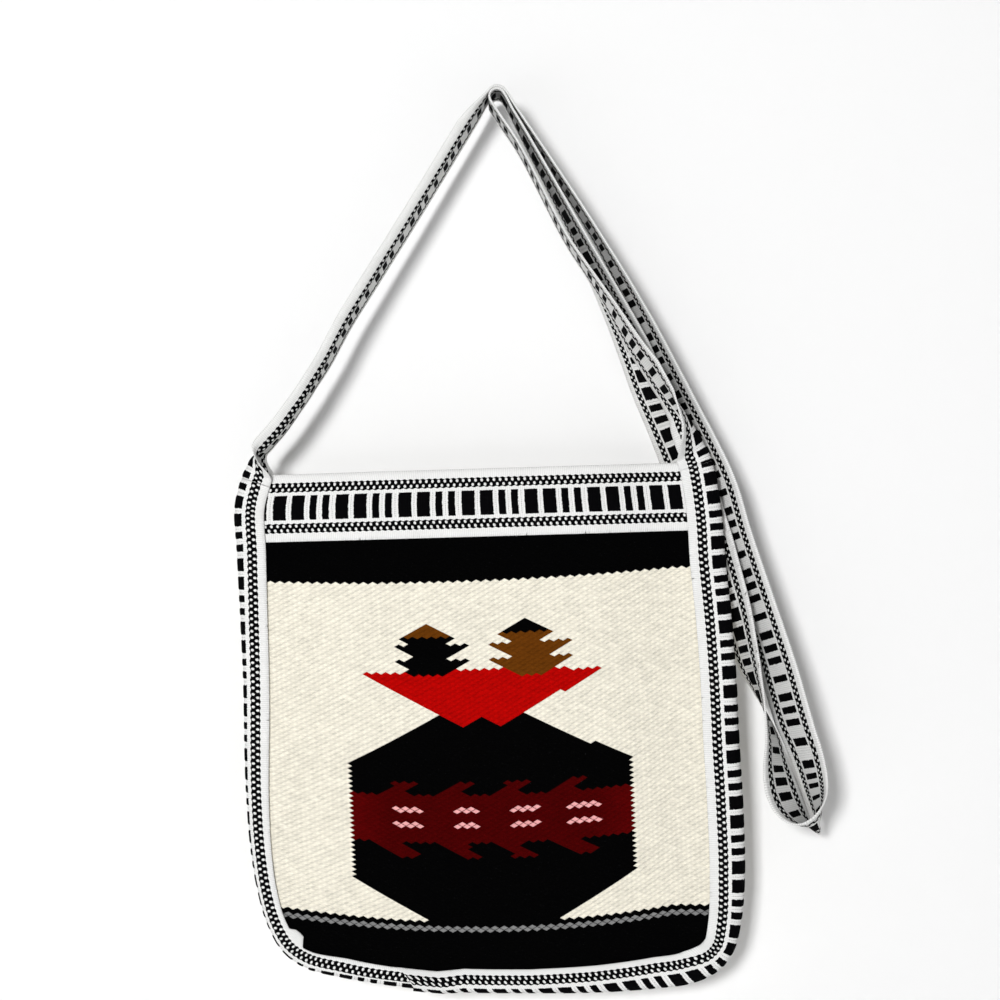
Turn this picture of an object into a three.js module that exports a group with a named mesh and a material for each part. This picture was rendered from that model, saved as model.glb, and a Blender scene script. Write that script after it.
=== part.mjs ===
// Woven wool crossbody bag hanging from a hook by its own band.
// Millimetres. +X right, +Y away from the viewer, +Z up.
// Origin: the point on top of the hook arm where the strap bears.
import * as THREE from 'three';

// Driving sizes
const BAG_WIDTH = 304.5;
const BAG_HEIGHT = 309.6;
const STRAP_DROP = 230;
const LOOP_BELOW_MOUTH = 207.5;
const BAND_WIDTH = 41;
const BAND_THICK = 1.2;
const PANEL_THICK = 2.3;
const HOOK_DIAMETER = 8;
const CROWN = 7;

// Fits and allowances
const FIT_GAP = 0.3;
const SIDE_ROOM = 1.4;
const PANEL_INSET = 0.6;
const TOP_LAP = 8;
const LAP_FULL = 2;
const LAP_RAMP = 9;
const CROWN_RAMP = 62;
const CROWN_MARGIN = 17.5;
const MOUTH_RISE = 8;
const HOOK_DEPTH = 10;
const BAND_LAP_LEFT = -50;
const BAND_LAP_RIGHT = -32;
const BAND_LAP_RAMP = 12;

// Sizes that follow
const FOLD_RADIUS = SIDE_ROOM / 2 + PANEL_THICK + 1.5 * BAND_THICK + 2 * FIT_GAP;
const SHEET_FACE = FOLD_RADIUS - BAND_THICK / 2 - FIT_GAP;
const LAYER_STEP = BAND_THICK + FIT_GAP;

// Outline of the gusset seen from the front, left mouth corner round to right mouth corner.
// Each row: x, z from the mouth line, shift of the band towards the front.
const OUTLINE = [
  [-152.4, -1.6, 0], [-156.6, -19.6, 0], [-155.2, -46, -0.5], [-153.3, -82, -1.5],
  [-151.2, -128.8, -2.5], [-150.6, -163.6, -3], [-149.6, -191.8, -3.5], [-147.2, -221.8, -4],
  [-143.2, -247, -4.5], [-137.2, -268.4, -4.5], [-128.2, -284.6, -4], [-115.2, -294.4, -3],
  [-93, -300.2, -2], [-58.2, -305.8, -1.5], [-20.4, -309.1, -1.5], [19.8, -309.6, -1.5],
  [60, -309.2, -1.5], [95, -306.8, -0.5], [117.2, -303.6, 0.5], [132.8, -296, 2],
  [141.2, -284.8, 3], [145.6, -268, 3.6], [147.9, -240.4, 3.6], [147, -200.8, 3.6],
  [144.6, -160, 3.6], [142.8, -122.2, 3.6], [140.2, -86.8, 3.6], [136.5, -50.8, 3.6],
  [134, -20.8, 3.2], [128.4, 8.6, 2.4],
];

// Right run of the strap, mouth corner up to the hook.
// Each row: x, y, z of the middle line, lean in degrees,
// fold (1 is a channel round the bag's edge, 0 is flat, below 0 curls the other way).
const RIGHT_RUN = [
  [124.4, 0, -212.6, -2, 0.96], [119.2, -1.5, -203.6, -3, 0.62], [112.6, -3.5, -194, -5, 0.28],
  [102.2, -4.5, -180.5, -11, 0.06], [91.8, -4, -165.5, -13, 0], [81.2, -3, -150.5, -10, 0],
  [65, 0, -123.5, -3, 0], [52.9, 2.5, -105, -1, 0], [41.6, 5, -87.4, 0, 0], [13.4, 9, -32.8, 0, 0],
];

// Hanging loop, hook down the inner strand, round the bottom, up the outer strand.
// Each row: x, y, z of the near edge, lean in degrees, sink of the far edge in degrees.
const LOOP = [
  [55, -6, -89.4, -10, 0], [76, -1, -124.2, -18, 0], [91.7, 4, -151, -26, 0], [104.2, 9, -179.6, -29, 0],
  [114.5, 12, -199.5, -32, 0], [124, 13, -217.6, -36, 0], [131.8, 12, -235.7, -37, 0],
  [137.9, 8, -256.8, -36, 0], [144, 1, -278.4, -32, 0], [151.7, -6, -310.5, -24, 0],
  [157.1, -11, -344.2, -14, 0], [159.7, -14, -368.8, 3, 0], [159.9, -17, -389.9, 17.5, 0],
  [157.1, -19, -413.3, 30, 0], [160.8, -19.5, -426.2, 30, 1], [168.5, -19.5, -434.2, 22, 4],
  [176.7, -19.5, -437, 13, 9], [185.6, -19.5, -433, 4, 15], [193, -19.5, -425.4, -9, 13],
  [195.4, -19, -413.3, -20, 5], [193.2, -19, -397.3, -24, 0], [187.4, -18, -377.9, -27, 0],
  [177.6, -15, -343.8, -27, 0], [164.7, -11, -304.3, -26, 0], [152.2, -7, -266.3, -25, 0],
  [142.9, -4, -234.6, -25, 0], [131.4, -2, -208.9, -24, 0], [115.1, -3, -177.8, -22, 0],
  [92.9, -5, -136.6, -14, 0], [64.2, -8, -89.8, -4, 0],
];

// Left run of the strap, hook down to the left mouth corner.
const LEFT_RUN = [
  [-20.6, 9, -25.5, 1, 0], [-39.6, 8, -57.1, 2, -0.02], [-57, 6, -85.7, 1, -0.02],
  [-74.6, 4, -114.2, -1, -0.02], [-90.5, 2, -140.5, -1, -0.03], [-102.5, 1, -163.5, 2, -0.07],
  [-110, 0, -175.8, 4, -0.09], [-118, 0, -187.5, 6, -0.12], [-127.4, 0, -199.2, 10, -0.12],
  [-138.8, 0, -211.5, 11, 0.05], [-146, 0, -219.3, 7, 0.5], [-149.8, 0, -225.6, 1, 0.95],
];

const span = (list, i) => {
  const values = list.map((row) => row[i]);
  return Math.max(...values) - Math.min(...values);
};
const WIDE = BAG_WIDTH / span(OUTLINE, 0);
const TALL = BAG_HEIGHT / -Math.min(...OUTLINE.map((row) => row[1]));
const HANG = STRAP_DROP / 230;
const LOOP_TALL = LOOP_BELOW_MOUTH / 207.5;
const rad = THREE.MathUtils.degToRad;

function hangZ(z) {
  const below = -230 - z;
  return below < 0 ? z * HANG : -STRAP_DROP - below * LOOP_TALL;
}

// One closed line of control stations: gusset, right run, loop, left run
function station(x, y, z, lean, sink, fold, shift) {
  const across = new THREE.Vector3(
    Math.sin(rad(lean)), Math.cos(rad(lean)) * Math.cos(rad(sink)), -Math.sin(rad(sink)));
  return { at: new THREE.Vector3(x, y, z), across: across.normalize(), fold, shift };
}

function runStation(row, shift) {
  return station(row[0] * WIDE, row[1], hangZ(row[2]), row[3], 0, row[4], shift * row[4]);
}

function loopStation(row) {
  const s = station(row[0] * WIDE, row[1], hangZ(row[2]), row[3], row[4], 0, 0);
  s.at.addScaledVector(s.across, BAND_WIDTH / 2);
  return s;
}

// Stations round the hook arm between the two straight strands that leave it
function hookStations(radius, from, to) {
  const centre = new THREE.Vector3(0, HOOK_DEPTH, -HOOK_DIAMETER / 2);
  const touch = (s, side) => {
    const dx = s.at.x - centre.x;
    const dz = s.at.z - centre.z;
    return Math.atan2(dz, dx) + side * Math.acos(radius / Math.hypot(dx, dz));
  };
  const a = touch(from.station, from.side);
  let b = touch(to.station, to.side);
  while (Math.sign(to.turn) * (b - a) < 0) b += to.turn * 2 * Math.PI;
  const on = (angle) => new THREE.Vector3(
    centre.x + radius * Math.cos(angle), centre.y, centre.z + radius * Math.sin(angle));
  const lead = (angle, s) => {
    const p = on(angle);
    return p.addScaledVector(s.at.clone().sub(p).normalize(), 11);
  };
  const steps = Math.ceil(Math.abs(b - a) / 0.5);
  const points = [lead(a, from.station)];
  for (let i = 0; i <= steps; i++) points.push(on(a + (b - a) * i / steps));
  points.push(lead(b, to.station));
  return points.map((p) => station(p.x, p.y, p.z, 0, 0, 0, 0));
}

const gussetStations = OUTLINE.map((row) => station(
  row[0] * WIDE, 0, -STRAP_DROP + row[1] * TALL, 0, 0, 1, row[2]));
const rightStations = RIGHT_RUN.map((row) => runStation(row, OUTLINE.at(-1)[2]));
const loopStations = LOOP.map(loopStation);
const leftStations = LEFT_RUN.map((row) => runStation(row, OUTLINE[0][2]));
const innerTurn = HOOK_DIAMETER / 2 + BAND_THICK / 2;
const innerHook = hookStations(innerTurn,
  { station: rightStations.at(-1), side: -1 },
  { station: loopStations[0], side: 1, turn: -1 });
const outerHook = hookStations(innerTurn + LAYER_STEP,
  { station: loopStations.at(-1), side: 1 },
  { station: leftStations[0], side: -1, turn: 1 });
const STATIONS = [...gussetStations, ...rightStations, ...innerHook, ...loopStations,
  ...outerHook, ...leftStations];
const GUSSET_END = gussetStations.length - 1;
const COUNT = STATIONS.length;
const LINE = new THREE.CatmullRomCurve3(STATIONS.map((s) => s.at), true, 'centripetal');

// Frame of the band at a place on the line
function frameAt(u) {
  const t = (((u / COUNT) % 1) + 1) % 1;
  const i = Math.floor(t * COUNT) % COUNT;
  const k = t * COUNT - Math.floor(t * COUNT);
  const a = STATIONS[i];
  const b = STATIONS[(i + 1) % COUNT];
  const at = LINE.getPoint(t);
  const tangent = LINE.getTangent(t);
  const across = a.across.clone().lerp(b.across, k);
  across.addScaledVector(tangent, -across.dot(tangent)).normalize();
  const out = across.clone().cross(tangent).normalize();
  const mix = (key) => a[key] + (b[key] - a[key]) * k;
  return { at, tangent, across, out, fold: mix('fold'), shift: mix('shift') };
}

// Section of the band: flat flanges joined by a round fold, as a ring of points
function bandRing(u, lift) {
  const f = frameAt(u);
  const radius = FOLD_RADIUS + lift;
  const arc = radius * Math.PI / 2;
  const flange = BAND_WIDTH / 2 - arc;
  const bend = f.fold * Math.PI / 2;
  const half = (side) => {
    const rows = [];
    for (let k = 1; k <= 3; k++) {
      const angle = bend * k / 3;
      const flat = Math.abs(f.fold) < 1e-3;
      const a = flat ? arc * k / 3 : radius / f.fold * Math.sin(angle);
      const i = flat ? 0 : radius / f.fold * (1 - Math.cos(angle));
      rows.push([side * a, i, side * Math.sin(angle), -Math.cos(angle)]);
    }
    const end = rows[2];
    const length = flange - side * f.shift;
    rows.push([end[0] + side * length * Math.cos(bend), end[1] + length * Math.sin(bend),
      end[2], end[3]]);
    return rows;
  };
  const rows = [...half(-1).reverse(), [0, 0, 0, -1], ...half(1)];
  const place = (row, offset) => f.at.clone()
    .addScaledVector(f.across, row[0] + row[2] * offset)
    .addScaledVector(f.out, lift - row[1] - row[3] * offset);
  return [...rows.map((row) => place(row, BAND_THICK / 2)),
    ...rows.reverse().map((row) => place(row, -BAND_THICK / 2))];
}

// Closed solid from triangles, turned to face out
function solid(name, points, faces, colour) {
  let volume = 0;
  for (const [a, b, c] of faces) {
    volume += points[a].dot(points[b].clone().cross(points[c]));
  }
  const index = faces.flatMap(([a, b, c]) => (volume < 0 ? [a, c, b] : [a, b, c]));
  const geometry = new THREE.BufferGeometry();
  geometry.setAttribute('position', new THREE.Float32BufferAttribute(
    points.flatMap((p) => p.toArray()), 3));
  geometry.setIndex(index);
  geometry.computeVertexNormals();
  const mesh = new THREE.Mesh(geometry, new THREE.MeshStandardMaterial({
    color: colour, roughness: 0.95, metalness: 0 }));
  mesh.name = name;
  return mesh;
}

// Solid through a row of equal rings, with flat ends
function ringLoft(name, rings, colour) {
  const n = rings[0].length;
  const faces = [];
  for (let r = 0; r + 1 < rings.length; r++) {
    for (let k = 0; k < n; k++) {
      const a = r * n + k;
      const b = r * n + (k + 1) % n;
      if (k < n / 2) faces.push([a, b, a + n], [b, b + n, a + n]);
      else faces.push([a, b, b + n], [a, b + n, a + n]);
    }
  }
  const last = (rings.length - 1) * n;
  for (let k = 0; k + 1 < n / 2; k++) {
    const far = n - 1 - k;
    faces.push([k, far, k + 1], [k + 1, far, far - 1]);
    faces.push([last + k, last + k + 1, last + far], [last + k + 1, last + far - 1, last + far]);
  }
  return solid(name, rings.flat(), faces, colour);
}

// Places along the line from one place to another, closer where stations are far apart
function places(from, to) {
  const list = [from];
  for (let i = Math.floor(from); i < to; i++) {
    const a = STATIONS[i % COUNT].at;
    const b = STATIONS[(i + 1) % COUNT].at;
    const parts = THREE.MathUtils.clamp(Math.round(a.distanceTo(b) / 13), 1, 4);
    for (let k = 0; k < parts; k++) {
      const u = i + k / parts;
      if (u > from + 0.12 && u < to - 0.12) list.push(u);
    }
  }
  list.push(to);
  return list;
}

// Place on the line a short signed distance from another place
function placeNear(u, distance) {
  const step = 0.01 * Math.sign(distance);
  const a = LINE.getPoint(u / COUNT);
  const b = LINE.getPoint((u + step) / COUNT);
  return u + distance * 0.01 / a.distanceTo(b);
}

function placeOfX(x) {
  let lo = 12;
  let hi = 17;
  for (let i = 0; i < 40; i++) {
    const mid = (lo + hi) / 2;
    if (LINE.getPoint(mid / COUNT).x < x * WIDE) lo = mid;
    else hi = mid;
  }
  return lo;
}

const BAND_COLOUR = 0xc9c9c6;
const lapLeft = placeOfX(BAND_LAP_LEFT);
const lapRight = placeOfX(BAND_LAP_RIGHT);
const lapEnd = placeOfX(BAND_LAP_RIGHT + BAND_LAP_RAMP);
const lapLift = (u) => LAYER_STEP * THREE.MathUtils.clamp((lapEnd - u) / (lapEnd - lapRight), 0, 1);
const gussetLeft = ringLoft('gusset_left',
  places(placeNear(0, FIT_GAP / 2), lapRight).map((u) => bandRing(u, 0)), BAND_COLOUR);
const gussetRight = ringLoft('gusset_right',
  [lapLeft, (lapLeft + lapRight) / 2, lapRight + 0.02,
    ...places(lapEnd, placeNear(GUSSET_END, -FIT_GAP / 2))]
    .map((u) => bandRing(u, lapLift(u))), BAND_COLOUR);
const shoulderStrap = ringLoft('shoulder_strap',
  places(placeNear(GUSSET_END, FIT_GAP / 2), placeNear(COUNT, -FIT_GAP / 2))
    .map((u) => bandRing(u, 0)), BAND_COLOUR);

// Line the cloth panels reach to, inside the fold of the gusset
const EDGE = [];
for (let i = 0; i <= GUSSET_END * 4; i++) {
  const f = frameAt(Math.min(i / 4, GUSSET_END - 1e-6));
  const p = f.at.addScaledVector(f.out, -FOLD_RADIUS - PANEL_INSET);
  EDGE.push(new THREE.Vector2(p.x, p.z));
}
const LOW = EDGE.reduce((best, p, i) => (p.y < EDGE[best].y ? i : best), 0);
const LEFT_EDGE = EDGE.slice(0, LOW + 1);
const RIGHT_EDGE = EDGE.slice(LOW).reverse();

function pointAtZ(edge, z) {
  const i = Math.max(1, edge.findIndex((p, k) => k > 0 && p.y <= z));
  const k = (edge[i - 1].y - z) / (edge[i - 1].y - edge[i].y);
  return edge[i - 1].clone().lerp(edge[i], k);
}

function bottomAtX(x) {
  const i = Math.max(1, EDGE.findIndex((p, n) => n > GUSSET_END && p.x >= x));
  const k = (x - EDGE[i - 1].x) / (EDGE[i].x - EDGE[i - 1].x);
  return EDGE[i - 1].y + (EDGE[i].y - EDGE[i - 1].y) * k;
}

const ease = (d) => THREE.MathUtils.smoothstep(d, CROWN_MARGIN, CROWN_MARGIN + CROWN_RAMP);

// Swell of the front cloth, nothing under the gusset flanges
function crown(x, z) {
  const low = Math.max(z, EDGE[LOW].y + 0.01);
  const left = x - pointAtZ(LEFT_EDGE, low).x;
  const right = pointAtZ(RIGHT_EDGE, low).x - x;
  return CROWN * ease(left) * ease(right) * ease(z - bottomAtX(x));
}

// Mouth line, a little higher at the right
const MOUTH_LEFT = -STRAP_DROP - 0.4;
const MOUTH_RIGHT = MOUTH_LEFT + MOUTH_RISE;
const mouthRow = (drop) => [pointAtZ(LEFT_EDGE, MOUTH_LEFT - drop),
  pointAtZ(RIGHT_EDGE, MOUTH_RIGHT - drop)];

// Grid of points in the plane of the bag between two lists of rows
function mouthGrid(columns, rows) {
  const grid = [];
  for (let r = 0; r <= rows; r++) {
    const [a, b] = mouthRow(BAND_WIDTH * r / rows);
    grid.push(Array.from({ length: columns + 1 }, (_, c) => a.clone().lerp(b, c / columns)));
  }
  return grid;
}

// Points at given shares of a line's length
function spread(line, shares) {
  const run = [0];
  for (let i = 1; i < line.length; i++) run.push(run[i - 1] + line[i].distanceTo(line[i - 1]));
  return shares.map((share) => {
    const s = run.at(-1) * share;
    const i = Math.max(1, run.findIndex((v) => v >= s - 1e-9));
    return line[i - 1].clone().lerp(line[i], (s - run[i - 1]) / (run[i] - run[i - 1]));
  });
}

const evenShares = (parts) => Array.from({ length: parts + 1 }, (_, k) => k / parts);

// Panel grid: four edge lines blended, meeting at the bottom corners
function panelGrid(columns, rows) {
  const [a, b] = mouthRow(BAND_WIDTH - TOP_LAP);
  const far = (sx) => EDGE.reduce((best, p, i) => {
    const score = (q) => sx * q.x / BAG_WIDTH - q.y / BAG_HEIGHT;
    return score(p) > score(EDGE[best]) ? i : best;
  }, LOW);
  const cornerLeft = far(-1);
  const cornerRight = far(1);
  const deep = Math.min(a.y - EDGE[cornerLeft].y, b.y - EDGE[cornerRight].y);
  const first = (TOP_LAP + LAP_FULL) / deep;
  const second = (TOP_LAP + LAP_RAMP) / deep;
  const shares = [0, first, ...evenShares(rows).map((k) => second + (1 - second) * k)];
  const left = spread([a, ...EDGE.slice(0, cornerLeft + 1).filter((p) => p.y < a.y)], shares);
  const right = spread(
    [b, ...EDGE.slice(cornerRight).reverse().filter((p) => p.y < b.y)], shares);
  const bottom = spread(EDGE.slice(cornerLeft, cornerRight + 1), evenShares(columns));
  const grid = [];
  for (let r = 0; r < shares.length; r++) {
    const v = shares[r];
    const row = [];
    for (let c = 0; c <= columns; c++) {
      const u = c / columns;
      const top = a.clone().lerp(b, u);
      const p = top.multiplyScalar(1 - v).addScaledVector(bottom[c], v);
      p.addScaledVector(left[r], 1 - u).addScaledVector(right[r], u);
      p.addScaledVector(a, -(1 - u) * (1 - v)).addScaledVector(b, -u * (1 - v));
      p.addScaledVector(bottom[0], -(1 - u) * v).addScaledVector(bottom[columns], -u * v);
      row.push(p);
    }
    grid.push(row);
  }
  return grid;
}

// Cloth of even thickness over a grid; depth gives the outer face
function sheet(name, grid, depth, inward, thick, colour) {
  const columns = grid[0].length;
  const rows = grid.length;
  const flat = grid.flat();
  const points = [...flat.map((p) => new THREE.Vector3(p.x, depth(p.x, p.y), p.y)),
    ...flat.map((p) => new THREE.Vector3(p.x, depth(p.x, p.y) + inward * thick, p.y))];
  const n = flat.length;
  const faces = [];
  for (let r = 0; r + 1 < rows; r++) {
    for (let c = 0; c + 1 < columns; c++) {
      const a = r * columns + c;
      const d = a + columns;
      faces.push([a, d, a + 1], [a + 1, d, d + 1]);
      faces.push([n + a, n + a + 1, n + d], [n + a + 1, n + d + 1, n + d]);
    }
  }
  const rim = [];
  for (let c = 0; c < columns; c++) rim.push(c);
  for (let r = 1; r < rows; r++) rim.push(r * columns + columns - 1);
  for (let c = columns - 2; c >= 0; c--) rim.push((rows - 1) * columns + c);
  for (let r = rows - 2; r > 0; r--) rim.push(r * columns);
  rim.forEach((a, i) => {
    const b = rim[(i + 1) % rim.length];
    faces.push([a, b, n + a], [b, n + b, n + a]);
  });
  return solid(name, points, faces, colour);
}

// The panel steps back behind the mouth band where the two are sewn
function lapStep(x, z) {
  const [a, b] = mouthRow(BAND_WIDTH);
  const line = a.y + (b.y - a.y) * (x - a.x) / (b.x - a.x);
  const ramp = 2 * (z - line + LAP_RAMP) / LAP_RAMP;
  return LAYER_STEP * THREE.MathUtils.clamp(ramp, 0, 1);
}

const frontBand = (x, z) => -SHEET_FACE - crown(x, z);
const frontPanel = (x, z) => frontBand(x, z) + lapStep(x, z);
const backBand = () => SHEET_FACE;
const backPanel = (x, z) => SHEET_FACE - lapStep(x, z);

const bag = new THREE.Group();
bag.name = 'crossbody_bag';
bag.add(
  sheet('front_panel', panelGrid(24, 20), frontPanel, 1, PANEL_THICK, 0xe9e2d2),
  sheet('back_panel', panelGrid(10, 18), backPanel, -1, PANEL_THICK, 0xe9e2d2),
  sheet('front_mouth_band', mouthGrid(24, 3), frontBand, 1, BAND_THICK, BAND_COLOUR),
  sheet('back_mouth_band', mouthGrid(6, 2), backBand, -1, BAND_THICK, BAND_COLOUR),
  gussetLeft, gussetRight, shoulderStrap,
);

export default bag;
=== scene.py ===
import math
import random
import bmesh
import bpy
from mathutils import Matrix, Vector


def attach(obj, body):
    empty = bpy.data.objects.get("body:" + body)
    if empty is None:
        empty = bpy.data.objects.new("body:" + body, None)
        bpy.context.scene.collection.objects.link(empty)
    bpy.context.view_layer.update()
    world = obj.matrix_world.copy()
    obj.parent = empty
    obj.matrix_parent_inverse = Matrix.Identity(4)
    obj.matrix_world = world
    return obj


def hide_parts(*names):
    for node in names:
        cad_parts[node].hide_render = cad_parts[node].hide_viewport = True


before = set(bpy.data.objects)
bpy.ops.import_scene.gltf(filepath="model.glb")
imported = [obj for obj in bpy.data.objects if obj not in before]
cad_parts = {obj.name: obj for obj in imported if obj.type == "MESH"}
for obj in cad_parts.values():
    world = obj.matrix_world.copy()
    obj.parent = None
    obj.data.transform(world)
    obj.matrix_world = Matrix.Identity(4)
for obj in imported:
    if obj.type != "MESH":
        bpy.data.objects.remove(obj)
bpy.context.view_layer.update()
random.seed(7)
MM = 0.001

# Sizes of the woven band and the cloth, in millimetres, as the part has them
BAND = 41.0
BAND_THICK = 1.2
FOLD = 5.4
CLOTH_FACE = 4.5
CROWN = 7.0
DROP = 230.0
STEP = 1.5
HOOK_DEPTH = 10.0
HOOK_DIAMETER = 8.0
LAP_LEFT = -50.0
LAP_RIGHT = -32.0
LAP_END = -20.0
FLAT_RIM = 17.5
SWELL = 62.0
UNDER_BAND = 9.0

# Edge of the bag: x, z from the mouth line, shift of the band to the front
OUTLINE = [
    (-152.4, -1.6, 0), (-156.6, -19.6, 0), (-155.2, -46, -0.5), (-153.3, -82, -1.5),
    (-151.2, -128.8, -2.5), (-150.6, -163.6, -3), (-149.6, -191.8, -3.5), (-147.2, -221.8, -4),
    (-143.2, -247, -4.5), (-137.2, -268.4, -4.5), (-128.2, -284.6, -4), (-115.2, -294.4, -3),
    (-93, -300.2, -2), (-58.2, -305.8, -1.5), (-20.4, -309.1, -1.5), (19.8, -309.6, -1.5),
    (60, -309.2, 0.5), (95, -306.8, 3), (117.2, -303.6, 3.6), (132.8, -296, 1.8),
    (141.2, -284.8, 0.8), (145.6, -268, 1.8), (147.9, -240.4, 3.2), (147, -200.8, 3.6),
    (144.6, -160, 3.6), (142.8, -122.2, 3.6), (140.2, -86.8, 3.6), (136.5, -50.8, 3.6),
    (134, -20.8, 3.2), (128.4, 8.6, 2.4),
]
# Right run, mouth corner up to the top turn: x, y, z of the middle, lean, fold
RIGHT_RUN = [
    (124.4, 0, -212.6, -2, 0.96), (119.2, -1.5, -203.6, -3, 0.62), (112.6, -3.5, -194, -5, 0.28),
    (102.2, -4.5, -180.5, -11, 0.06), (91.8, -4, -165.5, -13, 0), (81.2, -3, -150.5, -10, 0),
    (65, 0, -123.5, -3, 0), (52.9, 2.5, -105, -1, 0), (41.6, 5, -87.4, 0, 0), (13.4, 9, -32.8, 0, 0),
]
# Hanging loop: x, y, z of the near edge, lean, sink of the far edge
LOOP = [
    (55, -6, -89.4, -10, 0), (76, -1, -124.2, -18, 0), (91.7, 4, -151, -26, 0), (104.2, 9, -179.6, -29, 0),
    (114.5, 12, -199.5, -32, 0), (124, 13, -217.6, -36, 0), (131.8, 12, -235.7, -37, 0),
    (137.9, 8, -256.8, -36, 0), (144, 1, -278.4, -32, 0), (151.7, -6, -310.5, -24, 0),
    (157.1, -11, -344.2, -14, 0), (159.7, -14, -368.8, 3, 0), (159.9, -17, -389.9, 18.5, 0),
    (157.1, -19, -413.3, 33.5, 0), (160.8, -19.5, -426.2, 32, 1), (168.5, -19.5, -434.2, 24, 7),
    (176.7, -19.5, -437, 15, 16), (185.6, -19.5, -433, 4, 22), (193, -19.5, -425.4, -9, 18),
    (195.4, -19, -413.3, -19, 6), (193.2, -19, -397.3, -23.5, 0), (187.4, -18, -377.9, -27, 0),
    (177.6, -15, -343.8, -27, 0), (164.7, -11, -304.3, -26, 0), (152.2, -7, -266.3, -25, 0),
    (142.9, -4, -234.6, -25, 0), (131.4, -2, -208.9, -24, 0), (115.1, -3, -177.8, -22, 0),
    (92.9, -5, -136.6, -14, 0), (64.2, -8, -89.8, -4, 0),
]
# Left run, top turn down to the mouth corner: x, y, z of the middle, lean, fold
LEFT_RUN = [
    (-20.6, 9, -25.5, 1, 0), (-39.6, 8, -57.1, 2, -0.02), (-57, 6, -85.7, 1, -0.02),
    (-74.6, 4, -114.2, -1, -0.02), (-90.5, 2, -140.5, -1, -0.03), (-102.5, 1, -163.5, 2, -0.07),
    (-110, 0, -175.8, 4, -0.09), (-118, 0, -187.5, 6, -0.12), (-127.4, 0, -199.2, 10, -0.12),
    (-138.8, 0, -211.5, 11, 0.05), (-146, 0, -219.3, 7, 0.5), (-149.8, 0, -225.6, 1, 0.95),
]


# The one long line that the band follows
class Stop:
    def __init__(self, x, y, z, lean=0, sink=0, fold=0, shift=0):
        a, b = math.radians(lean), math.radians(sink)
        self.at = Vector((x, y, z))
        self.across = Vector((math.sin(a), math.cos(a) * math.cos(b), -math.sin(b))).normalized()
        self.fold = fold
        self.shift = shift


def loop_stop(row):
    s = Stop(*row)
    s.at = s.at + s.across * (BAND / 2)
    return s


# Straight lead beside the top turn, and the angle between its stops
LEAD = 11.0
TURN_STEP = 0.5


def hook_stops(radius, start, start_side, end, end_side, turn):
    """Stops of the top turn, from where the band meets the round to where it leaves it."""
    centre = Vector((0, HOOK_DEPTH, -HOOK_DIAMETER / 2))

    def touch(s, side):
        dx, dz = s.at.x - centre.x, s.at.z - centre.z
        return math.atan2(dz, dx) + side * math.acos(radius / math.hypot(dx, dz))

    def on(angle):
        return centre + Vector((math.cos(angle), 0, math.sin(angle))) * radius

    def lead(angle, s):
        return on(angle) + (s.at - on(angle)).normalized() * LEAD

    a, b = touch(start, start_side), touch(end, end_side)
    while turn * (b - a) < 0:
        b += turn * 2 * math.pi
    steps = math.ceil(abs(b - a) / TURN_STEP)
    points = [on(a + (b - a) * i / steps) for i in range(steps + 1)]
    return [Stop(*p) for p in [lead(a, start), *points, lead(b, end)]]


gusset_stops = [Stop(x, 0, z - DROP, fold=1, shift=s) for x, z, s in OUTLINE]
right_stops = [Stop(x, y, z, n, 0, f, OUTLINE[-1][2] * f) for x, y, z, n, f in RIGHT_RUN]
loop_stops = [loop_stop(row) for row in LOOP]
left_stops = [Stop(x, y, z, n, 0, f) for x, y, z, n, f in LEFT_RUN]
turn_radius = HOOK_DIAMETER / 2 + BAND_THICK / 2
STOPS = [
    *gusset_stops, *right_stops,
    *hook_stops(turn_radius, right_stops[-1], -1, loop_stops[0], 1, -1),
    *loop_stops,
    *hook_stops(turn_radius + STEP, loop_stops[-1], 1, left_stops[0], -1, 1),
    *left_stops,
]
COUNT = len(STOPS)
GUSSET_END = len(gusset_stops) - 1


def line_point(u):
    """Point of the smooth line at u, which counts the stops."""
    u %= COUNT
    i = int(u)
    w = u - i
    p0, p1, p2, p3 = (STOPS[(i + k) % COUNT].at for k in (-1, 0, 1, 2))
    d0, d1, d2 = ((b - a).length ** 0.5 for a, b in ((p0, p1), (p1, p2), (p2, p3)))
    t1 = ((p1 - p0) / d0 - (p2 - p0) / (d0 + d1) + (p2 - p1) / d1) * d1
    t2 = ((p2 - p1) / d1 - (p3 - p1) / (d1 + d2) + (p3 - p2) / d2) * d1
    c2 = (p2 - p1) * 3 - t1 * 2 - t2
    c3 = (p1 - p2) * 2 + t1 + t2
    return p1 + t1 * w + c2 * w ** 2 + c3 * w ** 3


class Place:
    """Where the band is at u: middle point, direction, across, outward, fold and shift."""

    def __init__(self, u):
        i = int(u % COUNT)
        k = u % COUNT - i
        a, b = STOPS[i], STOPS[(i + 1) % COUNT]
        self.at = line_point(u)
        tangent = (line_point(u + 0.002) - line_point(u - 0.002)).normalized()
        across = a.across.lerp(b.across, k)
        self.across = (across - tangent * across.dot(tangent)).normalized()
        self.out = self.across.cross(tangent).normalized()
        self.fold = a.fold + (b.fold - a.fold) * k
        self.shift = a.shift + (b.shift - a.shift) * k

    def point(self, w, proud, lift=0):
        """Point of the cloth w across the band, standing proud of its middle layer."""
        w = w - self.shift
        side = 1 if w >= 0 else -1
        radius = FOLD + lift
        arc = radius * math.pi / 2
        along = min(abs(w), arc)
        rest = abs(w) - along
        if abs(self.fold) < 1e-3:
            a, deep, turn = along, 0, 0
        else:
            turn = along * self.fold / radius
            a = radius / self.fold * math.sin(turn)
            deep = radius / self.fold * (1 - math.cos(turn))
        a += rest * math.cos(turn) + proud * math.sin(turn)
        deep += rest * math.sin(turn) - proud * math.cos(turn)
        return self.at + self.across * (side * a) + self.out * (lift - deep)


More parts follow.
